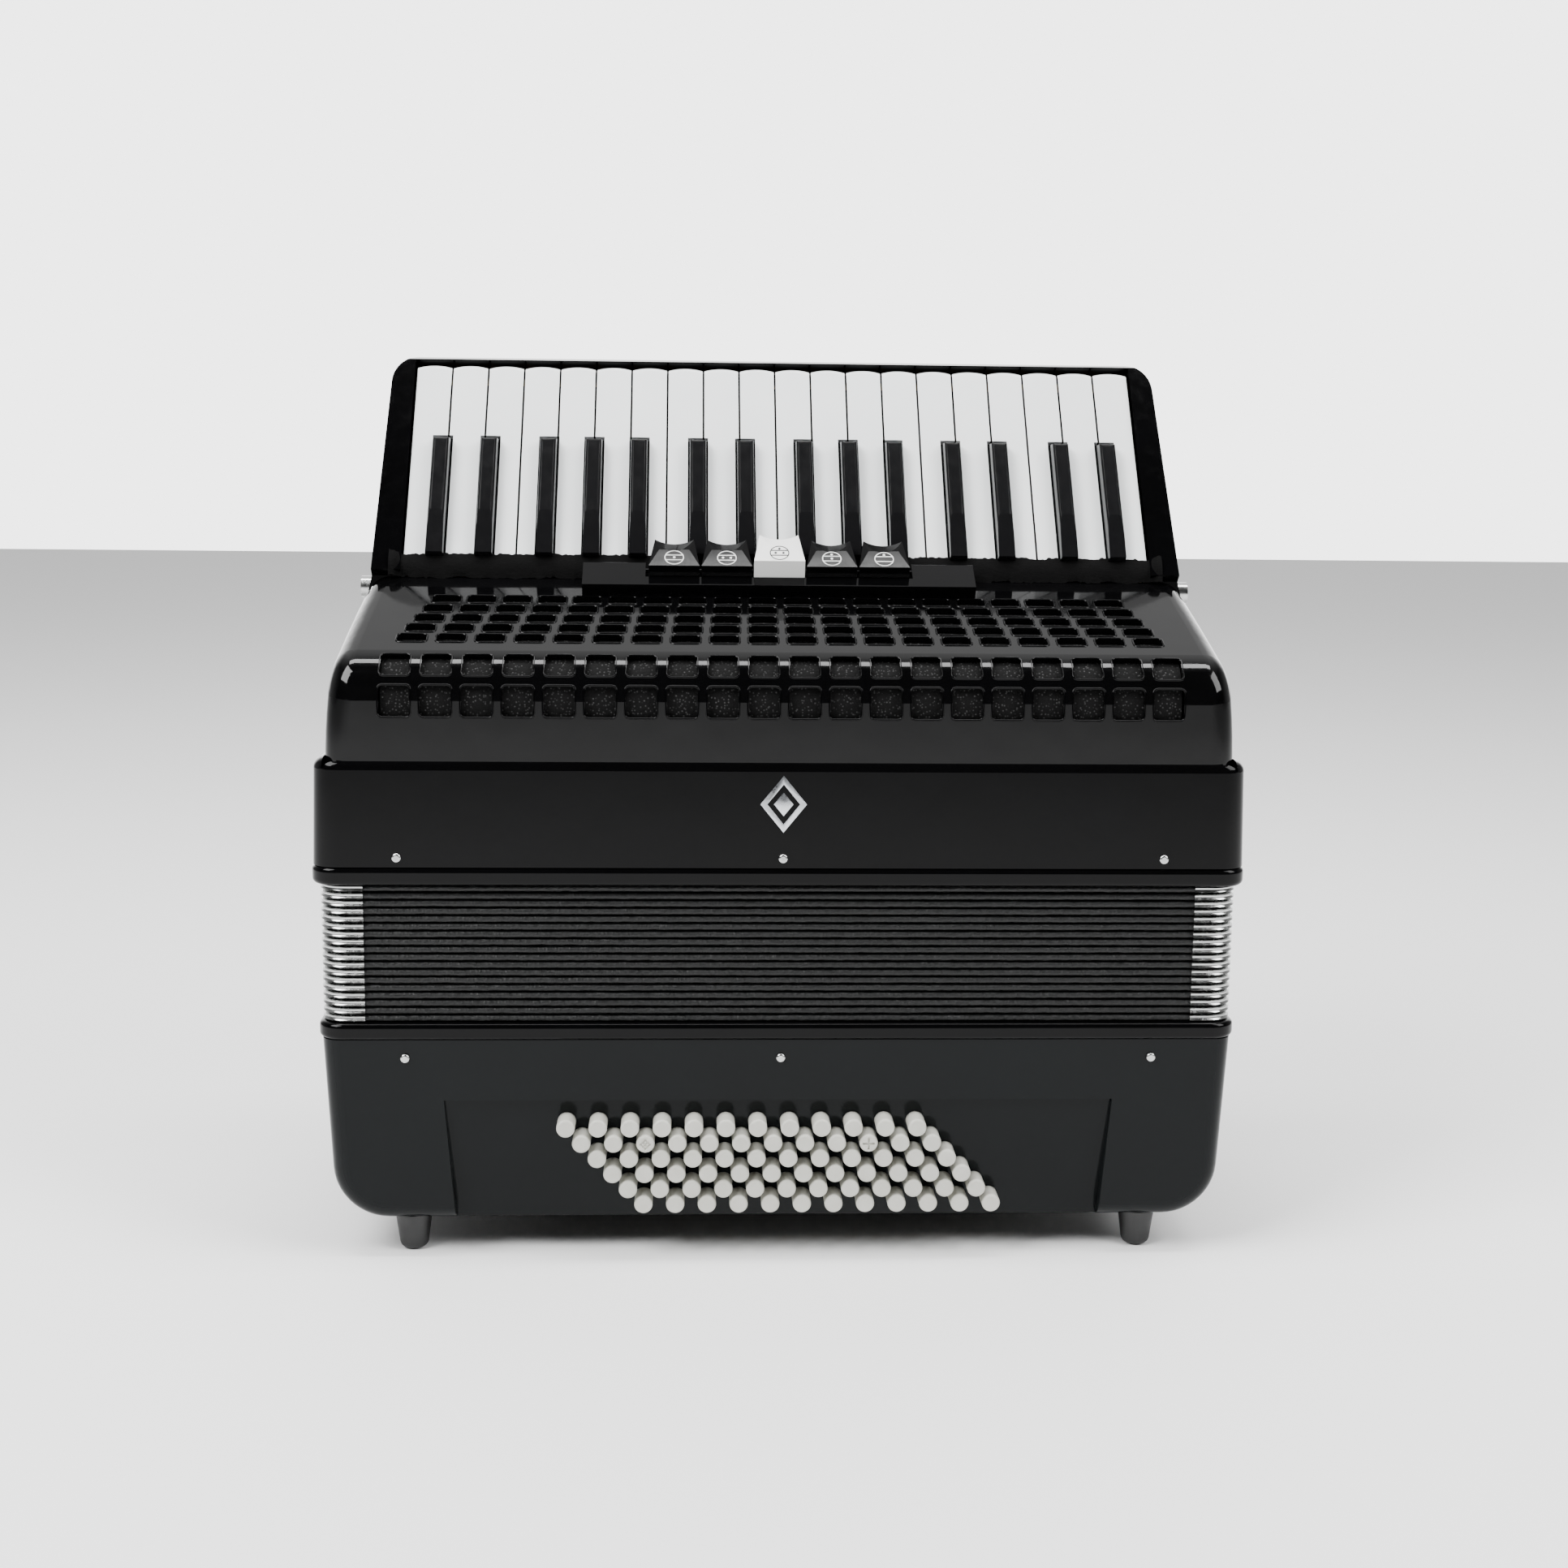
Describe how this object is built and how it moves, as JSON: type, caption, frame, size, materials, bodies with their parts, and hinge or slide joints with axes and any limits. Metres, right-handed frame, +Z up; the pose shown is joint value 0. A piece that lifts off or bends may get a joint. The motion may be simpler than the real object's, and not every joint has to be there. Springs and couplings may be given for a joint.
{
  "type": "piano accordion",
  "caption": "Piano accordion standing on the feet of its bass end, with a leaning keyboard, bellows that open, register switches and bass buttons.",
  "frame": {"origin": "under the middle of the whole instrument, level with the undersides of the feet", "axes": "+X along the keyboard towards the low notes, +Y from the grille side to the player side, +Z up from the bass end to the keyboard"},
  "size_m": [0.444, 0.1968, 0.4328],
  "materials": {
    "black_celluloid": "polished black celluloid over wood",
    "white_celluloid": "polished white celluloid",
    "black_key_plastic": "polished black key plastic",
    "button_plastic": "ivory grey button plastic",
    "chrome": "bright plating",
    "reed_wood": "plain spruce and walnut",
    "rubber": "moulded black rubber",
    "strap_leather": "black leather",
    "bellows_leather": "black pleated leathercloth",
    "gauze_and_felt": "black speckled gauze and black felt"
  },
  "bodies": {
    "bass_section": {"bass_casing": "black_celluloid", "bass_button_board": "black_celluloid", "bass_end_cover": "black_celluloid", "bass_feet": "rubber", "bass_bellows_frame": "black_celluloid", "bass_fittings": "chrome", "bass_reed_blocks": "reed_wood", "hand_strap": "strap_leather", "bellows_folds": "bellows_leather"},
    "treble_section": {"treble_casing": "black_celluloid", "treble_grille": "black_celluloid", "grille_cloth": "gauze_and_felt", "keyboard_housing": "black_celluloid", "key_axle": "chrome", "register_bar": "black_celluloid", "treble_bellows_frame": "black_celluloid", "treble_fittings": "chrome", "treble_reed_blocks": "reed_wood"},
    "register_switch_1": {"register_switch_1": "black_celluloid"},
    "register_switch_2": {"register_switch_2": "black_celluloid"},
    "register_switch_3": {"register_switch_3": "white_celluloid"},
    "register_switch_4": {"register_switch_4": "black_celluloid"},
    "register_switch_5": {"register_switch_5": "black_celluloid"},
    "bass_note_buttons": {"bass_note_buttons": "button_plastic"},
    "chord_buttons": {"chord_buttons": "button_plastic"},
    "air_button": {"air_button": "button_plastic"},
    "white_key_01": {"white_key_01": "white_celluloid"},
    "black_key_01": {"black_key_01": "black_key_plastic"},
    "white_key_02": {"white_key_02": "white_celluloid"},
    "black_key_02": {"black_key_02": "black_key_plastic"},
    "white_key_03": {"white_key_03": "white_celluloid"},
    "white_key_04": {"white_key_04": "white_celluloid"},
    "black_key_03": {"black_key_03": "black_key_plastic"},
    "white_key_05": {"white_key_05": "white_celluloid"},
    "black_key_04": {"black_key_04": "black_key_plastic"},
    "white_key_06": {"white_key_06": "white_celluloid"},
    "black_key_05": {"black_key_05": "black_key_plastic"},
    "white_key_07": {"white_key_07": "white_celluloid"},
    "white_key_08": {"white_key_08": "white_celluloid"},
    "black_key_06": {"black_key_06": "black_key_plastic"},
    "white_key_09": {"white_key_09": "white_celluloid"},
    "black_key_07": {"black_key_07": "black_key_plastic"},
    "white_key_10": {"white_key_10": "white_celluloid"},
    "white_key_11": {"white_key_11": "white_celluloid"},
    "black_key_08": {"black_key_08": "black_key_plastic"},
    "white_key_12": {"white_key_12": "white_celluloid"},
    "black_key_09": {"black_key_09": "black_key_plastic"},
    "white_key_13": {"white_key_13": "white_celluloid"},
    "black_key_10": {"black_key_10": "black_key_plastic"},
    "white_key_14": {"white_key_14": "white_celluloid"},
    "white_key_15": {"white_key_15": "white_celluloid"},
    "black_key_11": {"black_key_11": "black_key_plastic"},
    "white_key_16": {"white_key_16": "white_celluloid"},
    "black_key_12": {"black_key_12": "black_key_plastic"},
    "white_key_17": {"white_key_17": "white_celluloid"},
    "white_key_18": {"white_key_18": "white_celluloid"},
    "black_key_13": {"black_key_13": "black_key_plastic"},
    "white_key_19": {"white_key_19": "white_celluloid"},
    "black_key_14": {"black_key_14": "black_key_plastic"},
    "white_key_20": {"white_key_20": "white_celluloid"}
  },
  "joints": [
    {"name": "bellows_travel", "type": "slide", "parent": "bass_section", "child": "treble_section", "axis": [0, 0, 1], "range_m": [0, 0.3], "deforming": ["bellows_folds"]},
    {"name": "register_switch_1_tilt", "type": "hinge", "parent": "treble_section", "child": "register_switch_1", "pos_m": [-0.0522, -0.00798, 0.32676], "axis": [1, 0, 0], "range_deg": [0, 6], "stiffness_Nm_per_rad": 0.05, "springref_deg": -17.19},
    {"name": "register_switch_2_tilt", "type": "hinge", "parent": "treble_section", "child": "register_switch_2", "pos_m": [-0.0261, -0.00798, 0.32676], "axis": [1, 0, 0], "range_deg": [0, 6], "stiffness_Nm_per_rad": 0.05, "springref_deg": -17.19},
    {"name": "register_switch_3_tilt", "type": "hinge", "parent": "treble_section", "child": "register_switch_3", "pos_m": [0, -0.00798, 0.32676], "axis": [1, 0, 0], "range_deg": [0, 6], "stiffness_Nm_per_rad": 0.05, "springref_deg": -17.19},
    {"name": "register_switch_4_tilt", "type": "hinge", "parent": "treble_section", "child": "register_switch_4", "pos_m": [0.0261, -0.00798, 0.32676], "axis": [1, 0, 0], "range_deg": [0, 6], "stiffness_Nm_per_rad": 0.05, "springref_deg": -17.19},
    {"name": "register_switch_5_tilt", "type": "hinge", "parent": "treble_section", "child": "register_switch_5", "pos_m": [0.0522, -0.00798, 0.32676], "axis": [1, 0, 0], "range_deg": [0, 6], "stiffness_Nm_per_rad": 0.05, "springref_deg": -17.19},
    {"name": "bass_note_buttons_press", "type": "slide", "parent": "bass_section", "child": "bass_note_buttons", "axis": [0, 1, 0], "range_m": [0, 0.004], "stiffness_N_per_m": 200, "springref_m": -0.01},
    {"name": "chord_buttons_press", "type": "slide", "parent": "bass_section", "child": "chord_buttons", "axis": [0, 1, 0], "range_m": [0, 0.004], "stiffness_N_per_m": 300, "springref_m": -0.01},
    {"name": "air_button_press", "type": "slide", "parent": "bass_section", "child": "air_button", "axis": [0, 0, 1], "range_m": [0, 0.004], "stiffness_N_per_m": 100, "springref_m": -0.02},
    {"name": "white_key_01_press", "type": "hinge", "parent": "treble_section", "child": "white_key_01", "pos_m": [0, -0.00876, 0.30253], "axis": [-1, 0, 0], "range_deg": [0, 1.8], "stiffness_Nm_per_rad": 0.4, "springref_deg": -17.19},
    {"name": "black_key_01_press", "type": "hinge", "parent": "treble_section", "child": "black_key_01", "pos_m": [0, -0.00876, 0.30253], "axis": [-1, 0, 0], "range_deg": [0, 1.8], "stiffness_Nm_per_rad": 0.4, "springref_deg": -17.19},
    {"name": "white_key_02_press", "type": "hinge", "parent": "treble_section", "child": "white_key_02", "pos_m": [0, -0.00876, 0.30253], "axis": [-1, 0, 0], "range_deg": [0, 1.8], "stiffness_Nm_per_rad": 0.4, "springref_deg": -17.19},
    {"name": "black_key_02_press", "type": "hinge", "parent": "treble_section", "child": "black_key_02", "pos_m": [0, -0.00876, 0.30253], "axis": [-1, 0, 0], "range_deg": [0, 1.8], "stiffness_Nm_per_rad": 0.4, "springref_deg": -17.19},
    {"name": "white_key_03_press", "type": "hinge", "parent": "treble_section", "child": "white_key_03", "pos_m": [0, -0.00876, 0.30253], "axis": [-1, 0, 0], "range_deg": [0, 1.8], "stiffness_Nm_per_rad": 0.4, "springref_deg": -17.19},
    {"name": "white_key_04_press", "type": "hinge", "parent": "treble_section", "child": "white_key_04", "pos_m": [0, -0.00876, 0.30253], "axis": [-1, 0, 0], "range_deg": [0, 1.8], "stiffness_Nm_per_rad": 0.4, "springref_deg": -17.19},
    {"name": "black_key_03_press", "type": "hinge", "parent": "treble_section", "child": "black_key_03", "pos_m": [0, -0.00876, 0.30253], "axis": [-1, 0, 0], "range_deg": [0, 1.8], "stiffness_Nm_per_rad": 0.4, "springref_deg": -17.19},
    {"name": "white_key_05_press", "type": "hinge", "parent": "treble_section", "child": "white_key_05", "pos_m": [0, -0.00876, 0.30253], "axis": [-1, 0, 0], "range_deg": [0, 1.8], "stiffness_Nm_per_rad": 0.4, "springref_deg": -17.19},
    {"name": "black_key_04_press", "type": "hinge", "parent": "treble_section", "child": "black_key_04", "pos_m": [0, -0.00876, 0.30253], "axis": [-1, 0, 0], "range_deg": [0, 1.8], "stiffness_Nm_per_rad": 0.4, "springref_deg": -17.19},
    {"name": "white_key_06_press", "type": "hinge", "parent": "treble_section", "child": "white_key_06", "pos_m": [0, -0.00876, 0.30253], "axis": [-1, 0, 0], "range_deg": [0, 1.8], "stiffness_Nm_per_rad": 0.4, "springref_deg": -17.19},
    {"name": "black_key_05_press", "type": "hinge", "parent": "treble_section", "child": "black_key_05", "pos_m": [0, -0.00876, 0.30253], "axis": [-1, 0, 0], "range_deg": [0, 1.8], "stiffness_Nm_per_rad": 0.4, "springref_deg": -17.19},
    {"name": "white_key_07_press", "type": "hinge", "parent": "treble_section", "child": "white_key_07", "pos_m": [0, -0.00876, 0.30253], "axis": [-1, 0, 0], "range_deg": [0, 1.8], "stiffness_Nm_per_rad": 0.4, "springref_deg": -17.19},
    {"name": "white_key_08_press", "type": "hinge", "parent": "treble_section", "child": "white_key_08", "pos_m": [0, -0.00876, 0.30253], "axis": [-1, 0, 0], "range_deg": [0, 1.8], "stiffness_Nm_per_rad": 0.4, "springref_deg": -17.19},
    {"name": "black_key_06_press", "type": "hinge", "parent": "treble_section", "child": "black_key_06", "pos_m": [0, -0.00876, 0.30253], "axis": [-1, 0, 0], "range_deg": [0, 1.8], "stiffness_Nm_per_rad": 0.4, "springref_deg": -17.19},
    {"name": "white_key_09_press", "type": "hinge", "parent": "treble_section", "child": "white_key_09", "pos_m": [0, -0.00876, 0.30253], "axis": [-1, 0, 0], "range_deg": [0, 1.8], "stiffness_Nm_per_rad": 0.4, "springref_deg": -17.19},
    {"name": "black_key_07_press", "type": "hinge", "parent": "treble_section", "child": "black_key_07", "pos_m": [0, -0.00876, 0.30253], "axis": [-1, 0, 0], "range_deg": [0, 1.8], "stiffness_Nm_per_rad": 0.4, "springref_deg": -17.19},
    {"name": "white_key_10_press", "type": "hinge", "parent": "treble_section", "child": "white_key_10", "pos_m": [0, -0.00876, 0.30253], "axis": [-1, 0, 0], "range_deg": [0, 1.8], "stiffness_Nm_per_rad": 0.4, "springref_deg": -17.19},
    {"name": "white_key_11_press", "type": "hinge", "parent": "treble_section", "child": "white_key_11", "pos_m": [0, -0.00876, 0.30253], "axis": [-1, 0, 0], "range_deg": [0, 1.8], "stiffness_Nm_per_rad": 0.4, "springref_deg": -17.19},
    {"name": "black_key_08_press", "type": "hinge", "parent": "treble_section", "child": "black_key_08", "pos_m": [0, -0.00876, 0.30253], "axis": [-1, 0, 0], "range_deg": [0, 1.8], "stiffness_Nm_per_rad": 0.4, "springref_deg": -17.19},
    {"name": "white_key_12_press", "type": "hinge", "parent": "treble_section", "child": "white_key_12", "pos_m": [0, -0.00876, 0.30253], "axis": [-1, 0, 0], "range_deg": [0, 1.8], "stiffness_Nm_per_rad": 0.4, "springref_deg": -17.19},
    {"name": "black_key_09_press", "type": "hinge", "parent": "treble_section", "child": "black_key_09", "pos_m": [0, -0.00876, 0.30253], "axis": [-1, 0, 0], "range_deg": [0, 1.8], "stiffness_Nm_per_rad": 0.4, "springref_deg": -17.19},
    {"name": "white_key_13_press", "type": "hinge", "parent": "treble_section", "child": "white_key_13", "pos_m": [0, -0.00876, 0.30253], "axis": [-1, 0, 0], "range_deg": [0, 1.8], "stiffness_Nm_per_rad": 0.4, "springref_deg": -17.19},
    {"name": "black_key_10_press", "type": "hinge", "parent": "treble_section", "child": "black_key_10", "pos_m": [0, -0.00876, 0.30253], "axis": [-1, 0, 0], "range_deg": [0, 1.8], "stiffness_Nm_per_rad": 0.4, "springref_deg": -17.19},
    {"name": "white_key_14_press", "type": "hinge", "parent": "treble_section", "child": "white_key_14", "pos_m": [0, -0.00876, 0.30253], "axis": [-1, 0, 0], "range_deg": [0, 1.8], "stiffness_Nm_per_rad": 0.4, "springref_deg": -17.19},
    {"name": "white_key_15_press", "type": "hinge", "parent": "treble_section", "child": "white_key_15", "pos_m": [0, -0.00876, 0.30253], "axis": [-1, 0, 0], "range_deg": [0, 1.8], "stiffness_Nm_per_rad": 0.4, "springref_deg": -17.19},
    {"name": "black_key_11_press", "type": "hinge", "parent": "treble_section", "child": "black_key_11", "pos_m": [0, -0.00876, 0.30253], "axis": [-1, 0, 0], "range_deg": [0, 1.8], "stiffness_Nm_per_rad": 0.4, "springref_deg": -17.19},
    {"name": "white_key_16_press", "type": "hinge", "parent": "treble_section", "child": "white_key_16", "pos_m": [0, -0.00876, 0.30253], "axis": [-1, 0, 0], "range_deg": [0, 1.8], "stiffness_Nm_per_rad": 0.4, "springref_deg": -17.19},
    {"name": "black_key_12_press", "type": "hinge", "parent": "treble_section", "child": "black_key_12", "pos_m": [0, -0.00876, 0.30253], "axis": [-1, 0, 0], "range_deg": [0, 1.8], "stiffness_Nm_per_rad": 0.4, "springref_deg": -17.19},
    {"name": "white_key_17_press", "type": "hinge", "parent": "treble_section", "child": "white_key_17", "pos_m": [0, -0.00876, 0.30253], "axis": [-1, 0, 0], "range_deg": [0, 1.8], "stiffness_Nm_per_rad": 0.4, "springref_deg": -17.19},
    {"name": "white_key_18_press", "type": "hinge", "parent": "treble_section", "child": "white_key_18", "pos_m": [0, -0.00876, 0.30253], "axis": [-1, 0, 0], "range_deg": [0, 1.8], "stiffness_Nm_per_rad": 0.4, "springref_deg": -17.19},
    {"name": "black_key_13_press", "type": "hinge", "parent": "treble_section", "child": "black_key_13", "pos_m": [0, -0.00876, 0.30253], "axis": [-1, 0, 0], "range_deg": [0, 1.8], "stiffness_Nm_per_rad": 0.4, "springref_deg": -17.19},
    {"name": "white_key_19_press", "type": "hinge", "parent": "treble_section", "child": "white_key_19", "pos_m": [0, -0.00876, 0.30253], "axis": [-1, 0, 0], "range_deg": [0, 1.8], "stiffness_Nm_per_rad": 0.4, "springref_deg": -17.19},
    {"name": "black_key_14_press", "type": "hinge", "parent": "treble_section", "child": "black_key_14", "pos_m": [0, -0.00876, 0.30253], "axis": [-1, 0, 0], "range_deg": [0, 1.8], "stiffness_Nm_per_rad": 0.4, "springref_deg": -17.19},
    {"name": "white_key_20_press", "type": "hinge", "parent": "treble_section", "child": "white_key_20", "pos_m": [0, -0.00876, 0.30253], "axis": [-1, 0, 0], "range_deg": [0, 1.8], "stiffness_Nm_per_rad": 0.4, "springref_deg": -17.19}
  ]
}
